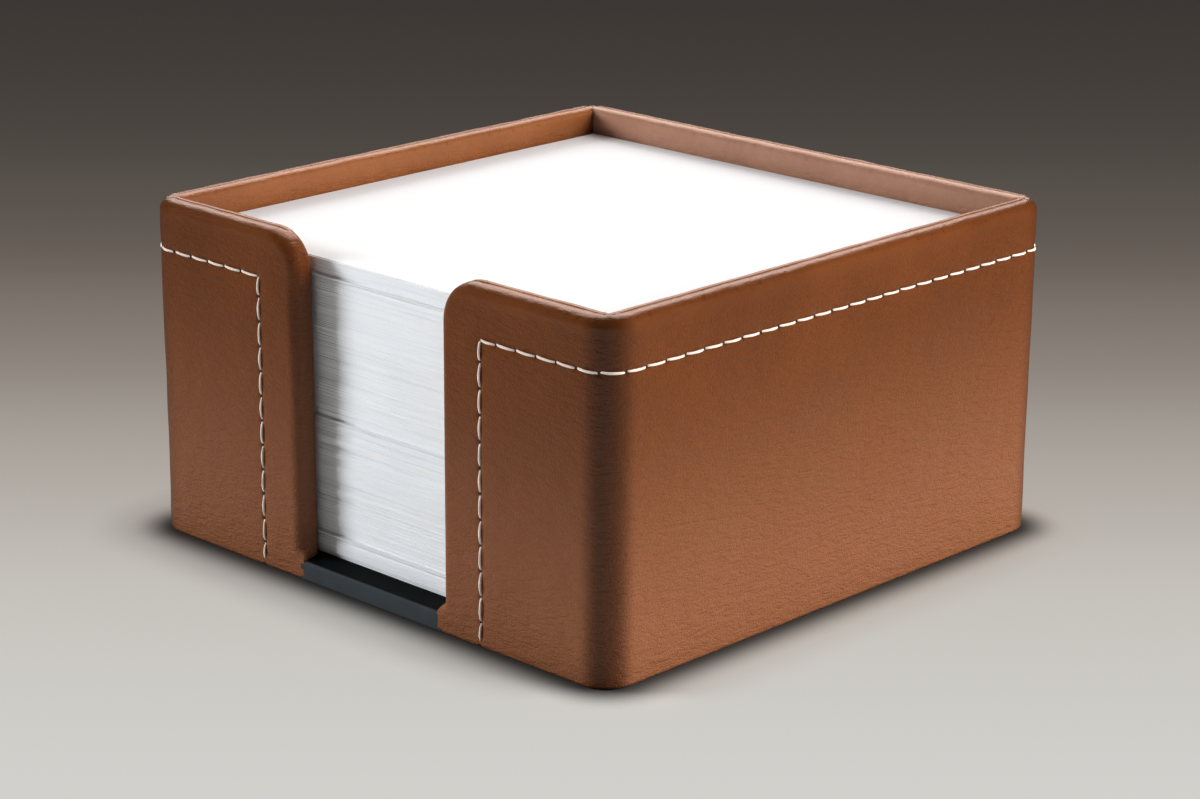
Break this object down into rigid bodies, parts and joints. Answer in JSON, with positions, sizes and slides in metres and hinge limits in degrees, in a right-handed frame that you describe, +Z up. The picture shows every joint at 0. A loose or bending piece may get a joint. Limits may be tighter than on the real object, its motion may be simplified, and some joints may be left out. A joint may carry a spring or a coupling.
{
  "type": "memo pad holder",
  "caption": "Square leather-covered memo block holder with an open top, a finger slot in the front wall, contrast stitching and a stack of loose square notes.",
  "frame": {"origin": "centre of the underside, on the surface that the holder stands on", "axes": "+Z up, the finger slot faces -Y, +X to the right of somebody who faces the slot"},
  "size_m": [0.1006, 0.1006, 0.0546],
  "materials": {
    "leather": "smooth, semi-gloss, fine grain",
    "lining": "smooth, semi-gloss",
    "greyboard": "matt",
    "black_cover": "matt, fine grain",
    "felt": "napped",
    "thread": "waxed twist",
    "paper": "matt, uncoated"
  },
  "bodies": {
    "holder": {"outer_leather": "leather", "left_lining": "lining", "right_lining": "lining", "rear_lining": "lining", "front_left_lining": "lining", "front_right_lining": "lining", "left_board": "greyboard", "right_board": "greyboard", "rear_board": "greyboard", "front_left_board": "greyboard", "front_right_board": "greyboard", "base_board": "greyboard", "base_cover": "black_cover", "underside_felt": "felt", "rim_stitching": "thread", "left_slot_stitching": "thread", "right_slot_stitching": "thread"},
    "note_stack": {"sheaf_1": "paper", "sheaf_2": "paper", "sheaf_3": "paper", "sheaf_4": "paper", "proud_sheets": "paper"},
    "top_sheet": {"top_note": "paper"}
  },
  "joints": [
    {"name": "notes_lift", "type": "slide", "parent": "holder", "child": "note_stack", "axis": [0, 0, 1], "range_m": [0, 0.06]},
    {"name": "top_note_lift", "type": "slide", "parent": "note_stack", "child": "top_sheet", "axis": [0, 0, 1], "range_m": [0, 0.04]}
  ]
}
